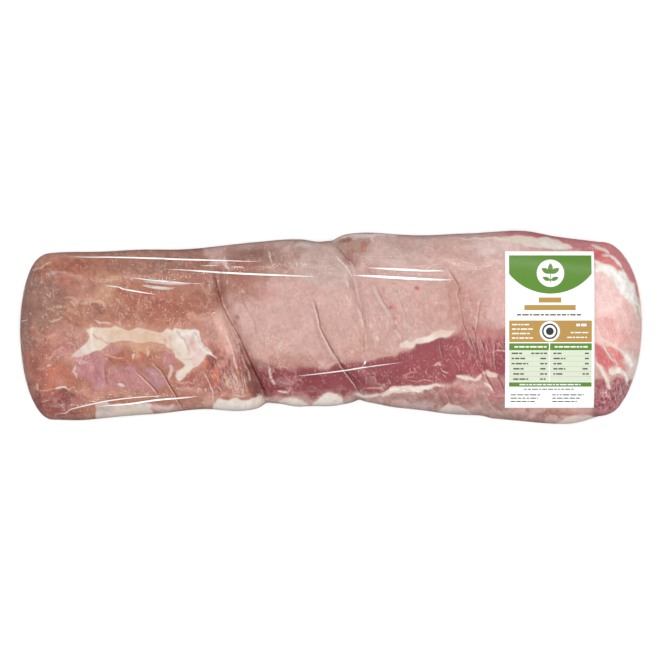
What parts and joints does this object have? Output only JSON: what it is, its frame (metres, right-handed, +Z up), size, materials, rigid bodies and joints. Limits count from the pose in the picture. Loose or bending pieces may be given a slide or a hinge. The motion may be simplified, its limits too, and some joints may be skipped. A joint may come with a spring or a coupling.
{
  "type": "raw pork loin",
  "caption": "Whole boneless raw pork loin, flat underneath and rounded on top, sealed tight in clear film, with a printed label bent across one end.",
  "frame": {"origin": "on the table under the middle of the loin's box", "axes": "+X along the loin towards its rounder end with the label, +Y across it, +Z up from the table"},
  "size_m": [0.5472, 0.1704, 0.073],
  "materials": {
    "meat": "raw pork: pale pink membrane, deep red lean, cream fat, seen through film",
    "film": "thin clear shrink film, glossy, with tight folds",
    "label_paper": "white coated label paper, satin",
    "label_print": "printed ink in flat fields, satin"
  },
  "bodies": {
    "root": {"wrapped_loin": "meat", "label": "label_paper"}
  },
  "joints": []
}
